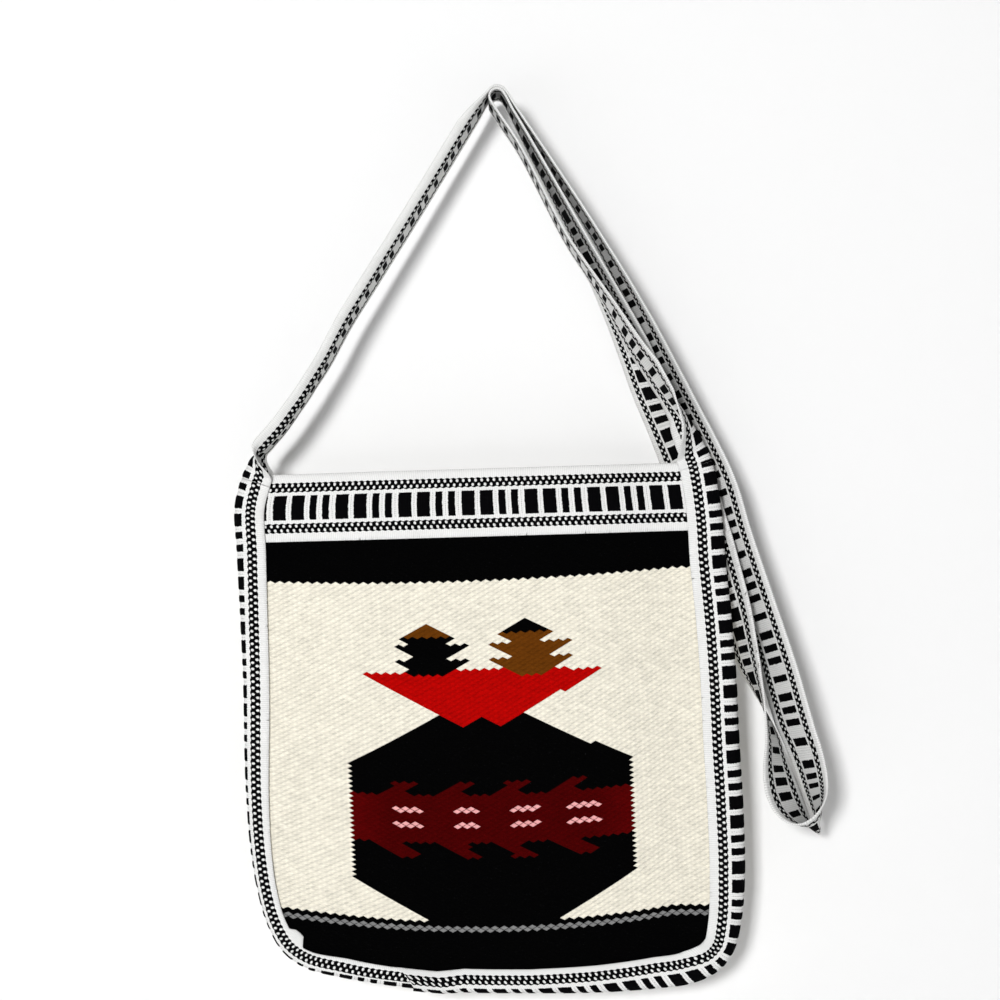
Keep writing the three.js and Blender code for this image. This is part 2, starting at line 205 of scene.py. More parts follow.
def places_along(start, end, gap):
    """Values of u from start to end, about gap apart along the line."""
    found = [start]
    while found[-1] < end:
        u = found[-1]
        speed = (line_point(u + 0.01) - line_point(u)).length / 0.01
        found.append(min(u + gap / speed, end))
    return found


# How far along the band each u is
FINE = 40
TRACE = [0.0]
for n in range(COUNT * FINE):
    TRACE.append(TRACE[-1] + (line_point((n + 1) / FINE) - line_point(n / FINE)).length)


def run_at(u):
    n = min(int(u * FINE), COUNT * FINE - 1)
    return TRACE[n] + (TRACE[n + 1] - TRACE[n]) * (u * FINE - n)


BOTTOM_SPAN = (12.0, 17.0)


def place_of_x(x):
    """Value of u where the bottom of the bag passes x."""
    lo, hi = BOTTOM_SPAN
    for _ in range(40):
        mid = (lo + hi) / 2
        lo, hi = (mid, hi) if line_point(mid).x < x else (lo, mid)
    return lo


# Line the cloth panels reach to, and the swell of the front cloth
EDGE = []
for n in range(GUSSET_END * 4 + 1):
    spot = Place(min(n / 4, GUSSET_END - 1e-6))
    edge_point = spot.at - spot.out * (FOLD + BAND_THICK / 2)
    EDGE.append((edge_point.x, edge_point.z))
LOW = min(range(len(EDGE)), key=lambda n: EDGE[n][1])


def side_x(line, z):
    for (x0, z0), (x1, z1) in zip(line, line[1:]):
        if z1 <= z:
            return x0 + (x1 - x0) * (z0 - z) / max(z0 - z1, 1e-6)
    return line[-1][0]


def left_x(z):
    return side_x(EDGE[:LOW + 1], z)


def right_x(z):
    return side_x(EDGE[:LOW - 1:-1], z)


def bottom_z(x):
    for (x0, z0), (x1, z1) in zip(EDGE[GUSSET_END:], EDGE[GUSSET_END + 1:]):
        if x1 >= x:
            return z0 + (z1 - z0) * (x - x0) / max(x1 - x0, 1e-6)
    return EDGE[-1][1]


def ease(d):
    k = min(max((d - FLAT_RIM) / SWELL, 0), 1)
    return k * k * (3 - 2 * k)


def crown(x, z):
    """How far the front cloth swells out."""
    z_in = max(z, EDGE[LOW][1] + 0.01)
    return CROWN * ease(x - left_x(z_in)) * ease(right_x(z_in) - x) * ease(z - bottom_z(x))


MOUTH_LEFT, MOUTH_RIGHT = -DROP - 0.4, -DROP + 7.6
MOUTH = [(left_x(MOUTH_LEFT), MOUTH_LEFT), (right_x(MOUTH_RIGHT), MOUTH_RIGHT)]


def mouth_z(x):
    (x0, z0), (x1, z1) = MOUTH
    return z0 + (z1 - z0) * (x - x0) / (x1 - x0)


def behind_band(x, z):
    """How far the panel steps back where the mouth band is sewn over it."""
    k = 2 * (z - (mouth_z(x) - BAND) + UNDER_BAND) / UNDER_BAND
    return STEP * min(max(k, 0), 1)


# Finished pieces
def finish_piece(bm, name, node, material):
    mesh = bpy.data.meshes.new(name)
    bmesh.ops.scale(bm, vec=(MM, MM, MM), verts=bm.verts)
    bm.to_mesh(mesh)
    bm.free()
    piece = bpy.data.objects.new(name, mesh)
    bpy.context.scene.collection.objects.link(piece)
    mesh.materials.append(material)
    mesh.shade_smooth()
    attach(piece, "root")
    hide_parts(node)
    return piece


# Pattern of the band: blocks of the ladder as start and end within one repeat, and the stitch
# lines between them as middle and half width
PITCH = 38.4
BLOCKS = ((0, 8), (11.2, 19.2), (22.5, 26.8), (30.2, 34.5))
STITCHES = ((9.6, 0.25), (20.85, 0.25), (28.5, 0.25), (36.45, 0.3))
LADDER_EDGE = 7.55
BLOCK_RISE = 0.45
HALF_COLUMNS = (0, 1.7, 3.4, 5.2, 6.8, 7.9, 9.9, 12.7, 15.5, 18, 20.5)
COLUMNS = [-w for w in HALF_COLUMNS[:0:-1]] + list(HALF_COLUMNS)
SELVEDGE_ROUND = 0.25
SELVEDGE_MAP = 20.4
# Added across on the band map of the far face
FAR_FACE = 100.0
ROW_KEY = 1000


def block_height(along, across):
    """1 on the black floats of the ladder, 0 elsewhere, with soft ends."""
    if abs(across) > LADDER_EDGE:
        return 0
    m = along % PITCH
    return max(min(max(min(m - a, b - m) / 0.9 + 0.3, 0), 1) for a, b in BLOCKS)


def woven_strip(bm, runs, place):
    """Closed strip of band: place(i, w, proud) is the point on cross row i, and runs(i, w) the
    distance along the pattern there. The band map holds distance along and across."""
    count = len(COLUMNS)
    ring = [(w, 1) for w in COLUMNS] + [(BAND / 2, 0)]
    ring += [(w, -1) for w in reversed(COLUMNS)] + [(-BAND / 2, 0)]
    around = len(ring)
    rows = runs.rows
    bmesh.ops.create_grid(bm, x_segments=rows - 1, y_segments=around, size=0.5)
    key = bm.verts.layers.int.new("key")
    for v in bm.verts:
        i = round((v.co.x + 0.5) * (rows - 1))
        j = round((v.co.y + 0.5) * around)
        v[key] = i * ROW_KEY + j
        w, face = ring[j % around]
        proud = face * BAND_THICK / 2
        if face == 1:
            proud += BLOCK_RISE * block_height(runs(i, w), w)
        outer = SELVEDGE_ROUND if face == 0 else 0
        v.co = place(i, w + math.copysign(outer, w), proud)
    band = bm.loops.layers.uv.new("band")
    bake = bm.loops.layers.uv.new("OFBake")
    lanes = max(1, round(math.sqrt(runs.length / (2.4 * BAND))))
    for f in bm.faces:
        js = [l.vert[key] % ROW_KEY for l in f.loops]
        front = max(js) < count
        back = min(js) > count and max(js) < around - 1
        lane = int(min(l.vert[key] // ROW_KEY for l in f.loops) * lanes / (rows - 1) + 1e-6)
        for l in f.loops:
            i, j = divmod(l.vert[key], ROW_KEY)
            w = ring[j % around][0]
            edge = math.copysign(SELVEDGE_MAP, w)
            l[band].uv = (runs(i, w), w if front else w + FAR_FACE if back else edge)
            l[bake].uv = (0.01 + 0.98 * min(max(i * lanes / (rows - 1) - lane, 0), 1),
                          (lane + 0.04 + 0.92 * j / around) / lanes)
    bmesh.ops.remove_doubles(bm, verts=bm.verts, dist=1e-5)
    rim = [e for e in bm.edges if e.is_boundary]
    caps = bmesh.ops.holes_fill(bm, edges=rim, sides=0)["faces"]
    for f in caps:
        for l in f.loops:
            l[band].uv = (runs(0, 0), SELVEDGE_MAP)
            l[bake].uv = (0.002, 0.002)
    bmesh.ops.recalc_face_normals(bm, faces=bm.faces)


class Runs:
    """Distance along the pattern for each cross row; slant moves it with the distance across."""

    def __init__(self, along, slant=None):
        self.along = along
        self.slant = slant or [0] * len(along)
        self.rows = len(along)
        self.length = abs(along[-1] - along[0])

    def __call__(self, i, w):
        return self.along[i] - self.slant[i] * min(w, 0)


def line_strip(name, node, us, runs, place_at, material):
    spots = [Place(u) for u in us]

    def place(i, w, proud):
        return place_at(us[i], spots[i], w, proud)

    bm = bmesh.new()
    woven_strip(bm, runs, place)
    return finish_piece(bm, name, node, material)


# Shader helpers
class Tree:
    def __init__(self, tree):
        self.tree = tree

    def node(self, kind, **values):
        n = self.tree.nodes.new(kind)
        for k, v in values.items():
            setattr(n, k, v)
        return n

    def put(self, socket, value):
        if isinstance(value, Num):
            value = value.socket
        if isinstance(value, bpy.types.NodeSocket):
            self.tree.links.new(value, socket)
        else:
            socket.default_value = value

    def math(self, op, *args):
        n = self.node("ShaderNodeMath", operation=op)
        for socket, value in zip(n.inputs, args):
            self.put(socket, value)
        return Num(self, n.outputs[0])

    def noise(self, vector, scale, detail=2.0, rough=0.5):
        n = self.node("ShaderNodeTexNoise")
        self.put(n.inputs["Vector"], vector)
        self.put(n.inputs["Scale"], scale)
        self.put(n.inputs["Detail"], detail)
        self.put(n.inputs["Roughness"], rough)
        return Num(self, n.outputs[0])

    def vector(self, x, y, z=0.0):
        n = self.node("ShaderNodeCombineXYZ")
        for socket, value in zip(n.inputs, (x, y, z)):
            self.put(socket, value)
        return n.outputs[0]

    def mix_colour(self, factor, a, b, blend="MIX"):
        n = self.node("ShaderNodeMix", data_type="RGBA", blend_type=blend)
        self.put(n.inputs[0], factor)
        self.put(n.inputs[6], a)
        self.put(n.inputs[7], b)
        return n.outputs[2]


class Num:
    """A shader value that takes part in sums."""

    def __init__(self, tree, socket):
        self.tree = tree
        self.socket = socket

    def __add__(self, other):
        return self.tree.math("ADD", self, other)

    def __sub__(self, other):
        return self.tree.math("SUBTRACT", self, other)

    def __rsub__(self, other):
        return self.tree.math("SUBTRACT", other, self)

    def __mul__(self, other):
        return self.tree.math("MULTIPLY", self, other)

    __radd__ = __add__
    __rmul__ = __mul__

    def over(self, limit):
        return self.tree.math("GREATER_THAN", self, limit)

    def under(self, limit):
        return self.tree.math("LESS_THAN", self, limit)

    def near(self, middle, reach):
        return self.tree.math("COMPARE", self, middle, reach)

    def fract(self):
        return self.tree.math("FRACT", self)

    def floor(self):
        return self.tree.math("FLOOR", self)

    def abs(self):
        return self.tree.math("ABSOLUTE", self)

    def wave(self, period, phase=0.0):
        return self.tree.math("COSINE", (self + phase) * (2 * math.pi / period))

    def max(self, other):
        return self.tree.math("MAXIMUM", self, other)

    def squared(self):
        return self * self


def fibre_group():
    """Short hairs and uneven dye of spun yarn, from a place in millimetres."""
    group = bpy.data.node_groups.new("spun_fibre", "ShaderNodeTree")
    group.interface.new_socket("Place", in_out="INPUT", socket_type="NodeSocketVector")
    group.interface.new_socket("Tone", in_out="OUTPUT", socket_type="NodeSocketFloat")
    group.interface.new_socket("Height", in_out="OUTPUT", socket_type="NodeSocketFloat")
    t = Tree(group)
    place = t.node("NodeGroupInput").outputs["Place"]
    fine = t.noise(place, 1.6, 3.0, 0.6)
    broad = t.noise(place, 0.06, 2.0, 0.5)
    out = t.node("NodeGroupOutput")
    t.put(out.inputs["Tone"], 1.0 + (fine - 0.5) * 0.22 + (broad - 0.5) * 0.12)
    t.put(out.inputs["Height"], fine)
    return group


fibre = fibre_group()


def cloth_material(name):
    material = bpy.data.materials.new(name)
    material.use_nodes = True
    shader = material.node_tree.nodes["Principled BSDF"]
    shader.inputs["Roughness"].default_value = 0.95
    shader.inputs["Specular IOR Level"].default_value = 0.02
    return material, Tree(material.node_tree), shader


def add_bump(t, shader, height, distance):
    bump = t.node("ShaderNodeBump")
    bump.inputs["Strength"].default_value = 1.0
    bump.inputs["Distance"].default_value = distance
    t.put(bump.inputs["Height"], height)
    t.put(shader.inputs["Normal"], bump.outputs["Normal"])


def use_fibre(t, place):
    n = t.node("ShaderNodeGroup", node_tree=fibre)
    t.put(n.inputs["Place"], place)
    return Num(t, n.outputs["Tone"]), Num(t, n.outputs["Height"])


def wool_material():
    material, t, shader = cloth_material("wool_tapestry")
    # The yarn colour attribute holds the weft colours, and painted shade on the side faces of the beads
    yarn = t.node("ShaderNodeAttribute", attribute_name="yarn").outputs["Color"]
    place = t.node("ShaderNodeUVMap", uv_map="weave").outputs["UV"]
    tone, hair = use_fibre(t, place)
    t.put(shader.inputs["Base Color"], t.mix_colour(1.0, yarn, tone, "MULTIPLY"))
    add_bump(t, shader, hair, 0.00035)
    return material


# Stripes of the band: width of a thread, repeat of the dots, edges and two rows of the dotted stripe
THREAD = 0.66
DOT_PITCH = 3.8
DOTS_FROM, DOTS_TO = 9.7, 15.3
OUTER_ROW, INNER_ROW = 13.82, 11.18
FAR_TRIM = 0.45


def band_material():
    """Black and white band: plain edges, dotted stripes and a ladder of blocks."""
    material, t, shader = cloth_material("woven_band")
    uv = t.node("ShaderNodeUVMap", uv_map="band").outputs["UV"]
    split = t.node("ShaderNodeSeparateXYZ")
    t.put(split.inputs[0], uv)
    along = Num(t, split.outputs[0])
    raw = Num(t, split.outputs[1])
    far = raw.over(FAR_FACE / 2)
    across = raw - far * FAR_FACE
    reach = across.abs()
    threads = (across * (1 / THREAD)).floor()
    ragged = t.noise(t.vector(along * 0.3, threads * 5.3), 1.0, 1.0) - 0.5
    rough = t.noise(t.vector(along, across), 0.9, 2.0) - 0.5
    spot = ((along + ragged * 1.1) * (1 / PITCH)).fract() * PITCH
    trim = far * FAR_TRIM
    blocks = sum(spot.near((start + end) / 2, (end - start) / 2 - trim) for start, end in BLOCKS)
    blocks = blocks + far - 2.0 * blocks * far
    in_ladder = (reach + rough * 0.7).under(LADDER_EDGE)
    outer = along.wave(DOT_PITCH)
    inner = along.wave(DOT_PITCH, DOT_PITCH / 2)
    edge = reach + rough * 0.25
    in_dots = (edge - outer * 0.28).under(DOTS_TO) * (edge + inner * 0.28).over(DOTS_FROM)
    skew = along + across * 0.1 + rough * 0.2

    def dots(row, phase, wide, tall):
        s = ((skew + phase) * (1 / DOT_PITCH)).fract() - 0.5
        return 1.0 - ((s * (DOT_PITCH / wide)).squared() + ((reach - row) * (1 / tall)).squared())

    dot = dots(OUTER_ROW, DOT_PITCH / 2, 0.82, 1.0).max(dots(INNER_ROW, 0.0, 0.82, 0.95))
    white_dot = (dot + rough * 0.35).over(0.0)
    black = in_ladder * blocks + in_dots * (1.0 - white_dot)
    stitch = sum(spot.near(middle, half) for middle, half in STITCHES)
    seam = stitch * in_ladder * (1.0 - far) * across.wave(2 * THREAD).over(-0.3)
    tick = along.wave(1.15) * 0.5 + 0.5
    rib = across.wave(THREAD) * 0.5 + 0.5
    tone, hair = use_fibre(t, t.vector(along, across, far))
    shade = tone * (1.0 - tick * rib * 0.3) * (1.0 - seam * 0.35)
    colour = t.mix_colour(black, (0.82, 0.82, 0.81, 1), (0.0022, 0.0021, 0.0026, 1))
    t.put(shader.inputs["Base Color"], t.mix_colour(1.0, colour, shade, "MULTIPLY"))
    raised = in_dots * (dot.max(0.0) * 0.8) + black * rib * 0.5
    raised = raised + (1.0 - black) * tick * 0.35 + hair * 0.4
    add_bump(t, shader, raised, 0.0004)
    return material


wool = wool_material()
band_cloth = band_material()

# Woven band pieces; the left end goes a little way under the lap
LAP_UNDER = 3.0
lap_left, lap_right, lap_end = (place_of_x(x) for x in (LAP_LEFT, LAP_RIGHT, LAP_END))
lap_under = place_of_x(LAP_LEFT + LAP_UNDER)
# Gap in u between gusset and strap, and distance between cross rows on each
GAP = 0.004
GUSSET_ROW, STRAP_ROW = 1.05, 1.3
# Where the blocks of the ladder fall, and how far the band is stretched, on each side of the bag
LEFT_FIRST, LEFT_STRETCH = 10.7, 1.012
RIGHT_FIRST, RIGHT_STRETCH = 722.2, 0.985


def soft_step(v, start, end):
    k = min(max((v - start) / (end - start), 0), 1)
    return k * k * (3 - 2 * k)


def left_run(u):
    return (run_at(u) - LEFT_FIRST) * LEFT_STRETCH


def right_run(u):
    return (run_at(u) - RIGHT_FIRST) * RIGHT_STRETCH


strap_from, strap_to = right_run(GUSSET_END), left_run(0)
strap_length = TRACE[-1] - run_at(GUSSET_END)
strap_to += PITCH * round((strap_from + strap_length - strap_to) / PITCH)
# How the strap has given: distance from the right mouth corner, slip of the pattern
GIVE = [(0, 0), (40, -1.5), (95, -6.7), (475, -21.2), (712, -29.5), (800, -25.6), (860, -25.9),
        (950, -28.3), (1330, -34), (1410, -37.2), (strap_length, -PITCH)]


def between(rows, v):
    """Values of the rows of a table at v, along straight lines."""
    for a, b in zip(rows, rows[1:]):
        if v <= b[0]:
            k = max(0, (v - a[0]) / (b[0] - a[0]))
            return [p + (q - p) * k for p, q in zip(a[1:], b[1:])]
    return rows[-1][1:]


def strap_run(u):
    gone = run_at(u) - run_at(GUSSET_END)
    return strap_from + (strap_to - strap_from) * gone / strap_length + between(GIVE, gone)[0]


# Where across the band the front selvedge starts to roll, and where along u the bottom of the bag
# begins and ends
ROLL_FROM = 15.5
BOTTOM_IN, BOTTOM_OUT = (10.3, 11.6), (17.4, 19.2)


def tucked(w, tuck):
    """The front selvedge rolls under by the share tuck."""
    return -ROLL_FROM + (w + ROLL_FROM) * (1 - tuck) if w < -ROLL_FROM else w


def bottom_share(u):
    """1 along the bottom of the bag, 0 up its sides."""
    return soft_step(u, *BOTTOM_IN) * (1 - soft_step(u, *BOTTOM_OUT))


# Roll of the front selvedge of the left gusset, with a pleat at the corner: distance along it, share
ROLL = [(150, 0), (240, 0.35), (277, 0.45), (280, -0.15), (285, -0.35), (290, -0.3), (293.5, 0.3),
        (296, 0.8), (306, 0.75), (330, 0.5), (370, 0.6)]
# Squeeze of the white line beside the ladder at the bottom left: how much, over which x, and where across
SQUEEZE = 1.7
SQUEEZE_SPAN = (-125, -70)
LINE_FROM, LINE_WIDE = 7.7, 1.9
# Right end of the lap: roll of its selvedge, and its slanting end across the band and along u
RIGHT_ROLL = 0.35
CUT_FROM, CUT_WIDE, CUT_BACK = 9, 11.5, 0.3
LADDER_SLANT = 0.577
SLANT_OUT = (17.6, 19.4)


def left_place(u, spot, w, proud):
    in_line = min(max((-w - LINE_FROM) / LINE_WIDE, 0), 1)
    under = SQUEEZE * soft_step(spot.at.x, *SQUEEZE_SPAN) * in_line
    return spot.point(tucked(w, between(ROLL, run_at(u))[0]) + under, proud)


def right_place(u, spot, w, proud):
    lift = STEP * min(max((lap_end - u) / (lap_end - lap_right), 0), 1)
    cut = max(0, 1 - (u - lap_left) / (lap_end - lap_left)) * max(0, -w - CUT_FROM) / CUT_WIDE
    if cut:
        spot = Place(u - cut * CUT_BACK)
    return spot.point(tucked(w, RIGHT_ROLL * bottom_share(u)), proud, lift)


# How the near edge of the left run is turned to the front:
# u, where the bend starts across the band, its length, its angle, lean, shift to the bag
TURNED = [
    (86, 13, 4, 60, 3, 0), (91, 13, 4, 65, 3, 0), (92.5, 12, 5, 60, 2, 0), (93.75, 10, 6, 52, 0, 0),
    (95.3, 8, 8, 60, -2, 1.1), (96.4, 7.5, 8, 62, -2, 2.6), (97.2, 7.5, 8, 50, 0, 2.6),
    (98.4, 7.5, 8, 20, 0, 0),
]
TURNED_IN, TURNED_OUT = (86, 88), (97.2, 98.4)


def turned_point(u, spot, w, proud):
    """Point of the left run with its near edge turned to the front."""
    start, bend, angle, lean, shift = between(TURNED, u)
    angle, lean = math.radians(angle), math.radians(lean)
    tangent = spot.out.cross(spot.across)
    level = Vector((math.sin(lean), math.cos(lean), 0))
    across = (level - tangent * level.dot(tangent)).normalized()
    out = across.cross(tangent)
    over = max(0, -w - start)
    turn = angle * min(over / bend, 1)
    rest = max(0, over - bend)
    reach = w + over - bend / angle * math.sin(turn) - rest * math.cos(turn)
    swing = bend / angle * (1 - math.cos(turn)) + rest * math.sin(turn) - shift
    return spot.at + across * (reach + proud * math.sin(turn)) + out * (swing + proud * math.cos(turn))


# Foot of the hanging loop: u, x and z of the near edge, x and z of the far edge
FOOT = [
    (62, 159.1, -387.2, 173.0, -391.9), (62.5, 157.8, -398.5, 177.3, -404.2),
    (63, 157.5, -412.1, 181.3, -415.1), (63.6, 160.5, -423.3, 184.6, -423.6),
    (64.2, 165.5, -431.3, 187.0, -430.3), (64.8, 172.0, -436.0, 189.8, -437.6),
    (65.3, 177.9, -437.2, 192.8, -444.9), (65.9, 183.8, -435.1, 195.5, -448.9),
    (66.6, 189.1, -430.7, 197.1, -446.8), (67.6, 193.3, -424.5, 193.7, -439.5),
    (68.4, 195.4, -418.0, 189.2, -429.1), (69.2, 195.6, -410.9, 185.2, -419.1),
    (69.8, 194.2, -401.4, 181.9, -409.0), (70.4, 191.2, -389.6, 177.0, -396.6),
    (71, 186.4, -374.8, 170.3, -381.7),
]
FOOT_IN, FOOT_OUT = (61.9, 63), (69.8, 71)
FOOT_DEPTH = -19.5
FOOT_STEP = 0.1
FOOT_STEPS = 4


def foot_edge(u):
    """Near edge and the way across the band at u, smoothed along the strap."""
    steps = [between(FOOT, u + k * FOOT_STEP) for k in range(-FOOT_STEPS, FOOT_STEPS + 1)]
    x, z, far_x, far_z = (sum(v) / len(steps) for v in zip(*steps))
    across = Vector((far_x - x, 0, far_z - z))
    across.y = math.sqrt(BAND ** 2 - across.length_squared)
    return Vector((x, FOOT_DEPTH, z)), across / BAND


def foot_point(u, w, proud):
    """Point of the foot of the loop, on straight lines from edge to edge."""
    (near, across), (ahead, across_ahead) = foot_edge(u), foot_edge(u + FOOT_STEP)
    tangent = ahead + across_ahead * BAND / 2 - near - across * BAND / 2
    return near + across * (w + BAND / 2) + across.cross(tangent).normalized() * proud


def strap_place(u, spot, w, proud):
    turned = soft_step(u, *TURNED_IN) * (1 - soft_step(u, *TURNED_OUT))
    foot = soft_step(u, *FOOT_IN) * (1 - soft_step(u, *FOOT_OUT))
    place = spot.point(w, proud)
    if turned:
        place = place.lerp(turned_point(u, spot, w, proud), turned)
    if foot:
        place = place.lerp(foot_point(u, w, proud), foot)
    return place


left_us = places_along(GAP, lap_under, GUSSET_ROW)
right_us = places_along(lap_left, GUSSET_END - GAP, GUSSET_ROW)
strap_us = places_along(GUSSET_END + GAP, COUNT - GAP, STRAP_ROW)
gusset_left = line_strip("gusset_left_band", "gusset_left", left_us,
                         Runs([left_run(u) for u in left_us]), left_place, band_cloth)
gusset_right = line_strip("gusset_right_band", "gusset_right", right_us,
                          Runs([right_run(u) for u in right_us],
                               [LADDER_SLANT * (1 - soft_step(u, *SLANT_OUT)) for u in right_us]),
                          right_place, band_cloth)
strap = line_strip("shoulder_strap_band", "shoulder_strap", strap_us,
                   Runs([strap_run(u) for u in strap_us]), strap_place, band_cloth)


# Mouth bands: cross rows, where the pattern starts, its stretch along, and how the width is drawn in
MOUTH_ROWS = 270
MOUTH_FIRST, MOUTH_STRETCH = 21.5, 1.02
MOUTH_DRAWN = 0.975


def mouth_strip(name, node, depth, inward):
    """Band across the mouth; depth gives the outer face."""
    (x0, z0), (x1, z1) = MOUTH
    middle = BAND / 2
    length = right_x(z1 - middle) - left_x(z0 - middle)
    runs = Runs([MOUTH_FIRST + MOUTH_STRETCH * length * k / MOUTH_ROWS for k in range(MOUTH_ROWS + 1)])

    def place(i, w, proud):
        drop = (BAND / 2 - inward * w) * MOUTH_DRAWN
        k = i / MOUTH_ROWS
        za, zb = z0 - drop, z1 - drop
        xa, xb = left_x(za), right_x(zb)
        x, z = xa + (xb - xa) * k, za + (zb - za) * k
        return Vector((x, depth(x, z) + inward * (BAND_THICK / 2 - proud), z))

    bm = bmesh.new()
    woven_strip(bm, runs, place)
    return finish_piece(bm, name, node, band_cloth)


front_mouth = mouth_strip("front_mouth_band_cloth", "front_mouth_band",
                          lambda x, z: -CLOTH_FACE - crown(x, z), 1)
back_mouth = mouth_strip("back_mouth_band_cloth", "back_mouth_band", lambda x, z: CLOTH_FACE, -1)

# Wool panels: one small raised diamond for each pass of weft over warp.
# Weave places are a across and b up; cloth() lays them on the hanging bag.
WARP, PICK = 2.8, 1.45
ROW_ZERO, ROW_MIDDLE = -488.275, -395
LATTICE = 170
CLOTH_THICK = 1.7
BEAD_INSET, BEAD_RISE = 0.62, 0.7
LINE_INSET, LINE_RISE = 0.14, 0.4
SIDE_SEAM, BOTTOM_SEAM, MOUTH_SEAM = 3.2, 1.8, 6.5
CREAM = (0.83, 0.79, 0.68)
BLACK = (0.0009, 0.0009, 0.001)
RED = (0.45, 0.0015, 0.001)
WINE = (0.062, 0.0006, 0.0008)
BROWN = (0.13, 0.038, 0.003)
PINK = (0.85, 0.40, 0.40)
GREY = (0.22, 0.22, 0.22)

LEFT_CAP = [(-55, -320.6), (-41.7, -313.7), (-35.3, -313.7), (-22, -320.6)]
LEFT_BODY = [(-55, -320.5), (-49, -325), (-61, -325), (-47, -333.5), (-60.5, -333.5), (-48, -342.5),
             (-28, -342.5), (-13.5, -333.5), (-26.5, -333.5), (-14.5, -325), (-28, -325), (-21.5, -320.5)]
RIGHT_CAP = [(2.5, -319.5), (19.5, -310.3), (36, -319.5)]
RIGHT_BODY = [(2.5, -319.5), (9, -324.5), (-3.5, -325), (9, -333.5), (-3.5, -334), (13, -343.5),
              (30.5, -343.5), (46, -334.5), (30.5, -334), (47, -325), (30, -324.5), (37.5, -319.5)]
DISH = [(-79, -341.5), (-50, -341.3), (-46, -339.9), (8, -339.9), (12, -341.6), (67.3, -342),
        (44, -354), (38.4, -354), (2.7, -372.5), (-8.5, -366.5), (-19.7, -372.5)]
POT = [(-31, -364.6), (-88, -394.1), (-88, -461.8), (-43, -485), (31, -485), (80.5, -460),
       (80.5, -396), (69.9, -390), (46.7, -380.2), (16.5, -365.6)]
FLAME_UP = [(0, -1), (11, 7.4), (27, 7.4), (15.5, 2.4), (17.5, -1)]
FLAME_DOWN = [(0, 1), (15, -8.4), (28, -8), (15.5, 1)]
FLAMES_UP = [(a, -410.5) for a in (-71.5, -37.5, -4, 31)]
FLAMES_DOWN = [(a, -438.5) for a in (-75.5, -39, -6, 31)]
WINE_LOW, WINE_HIGH = -438.6, -410.4
TOP_STRIPE, FOOT_STRIPE = -289.3, -484.9
GREY_LOW, GREY_HIGH = -490.4, -487.6
# Pink bars in the wine band: middle and half width, rows and half height
PINK_BARS = ((-54.8, 8.8), (-20, 8), (14.8, 9), (50.6, 9))
PINK_ROWS = (-419.35, -428.05)
PINK_REACH = 1.4
# Paler dye at the ends of the wine band: middle, where it starts, over how much, how strong
GLOW_MIDDLE, GLOW_FROM, GLOW_WIDE, GLOW = -4, 62, 22, 0.5


def inside(shape, a, b, move=(0, 0)):
    a, b = a - move[0], b - move[1]
    hit = False
    for (a0, b0), (a1, b1) in zip(shape, shape[1:] + shape[:1]):
        if (b0 > b) != (b1 > b) and a < a0 + (a1 - a0) * (b - b0) / (b1 - b0):
            hit = not hit
    return hit


def in_wine_band(a, b):
    if WINE_LOW < b < WINE_HIGH:
        return True
    ups = any(inside(FLAME_UP, a, b, foot) for foot in FLAMES_UP)
    return ups or any(inside(FLAME_DOWN, a, b, foot) for foot in FLAMES_DOWN)


def yarn_at(a, b):
    """Colour of the weft that shows at a place of the front panel."""
    if b > TOP_STRIPE:
        return BLACK
    if b < FOOT_STRIPE:
        return GREY if GREY_LOW < b < GREY_HIGH else BLACK
    for shape, colour in ((LEFT_CAP, BROWN), (LEFT_BODY, BLACK), (RIGHT_CAP, BLACK),
                          (RIGHT_BODY, BROWN), (DISH, RED)):
        if inside(shape, a, b):
            return colour
    if not inside(POT, a, b):
        return CREAM
    if not in_wine_band(a, b):
        return BLACK
    in_row = any(abs(b - row) < PINK_REACH for row in PINK_ROWS)
    if in_row and any(abs(a - middle) < half for middle, half in PINK_BARS):
        return PINK
    glow = min(max((abs(a - GLOW_MIDDLE) - GLOW_FROM) / GLOW_WIDE, 0), 1)
    return tuple(c * (1 + GLOW * glow) for c in WINE)


def is_line(colour):
    return colour in (GREY, PINK)


# Hang of the weave. Depth down the panel is 0 at the mouth and 1 at PANEL_DEEP below it; the rows sag
# about SAG_MIDDLE, are tilted less and less down the panel, and drop a little below LOW_FROM.
PANEL_DEEP = 310
SAG, SAG_GROWTH = 1.67, 11.2
SAG_MIDDLE, SAG_HALF = -22, 128
TILT, TILT_LOSS, LOW_LOSS = 0.0393, 0.0317, 0.045
TILT_MIDDLE = -10
LOW_FROM, LOW_DROP, LOW_RATE = 0.36, 1.2, 5
WARP_LEAN, LEAN_LEVEL = 0.04, -393


def cloth(a, b):
    """x and z on the hanging panel of a place in the weave."""
    x, z = a, b
    for _ in range(4):
        deep = (-z - DROP) / PANEL_DEEP
        sag = (SAG + SAG_GROWTH * deep) * max(0, 1 - ((x - SAG_MIDDLE) / SAG_HALF) ** 2)
        low = max(0, deep - LOW_FROM)
        tilt = TILT - TILT_LOSS * deep - LOW_LOSS * low
        z = b + tilt * (x - TILT_MIDDLE) - sag - min(LOW_DROP, LOW_RATE * low)
        x = a - WARP_LEAN * (z - LEAN_LEVEL)
    return x, z


# Corner and size of the panel on its bake map
BAKE_LEFT, BAKE_WIDE = -165, 330
BAKE_LOW, BAKE_TALL = -545, 300


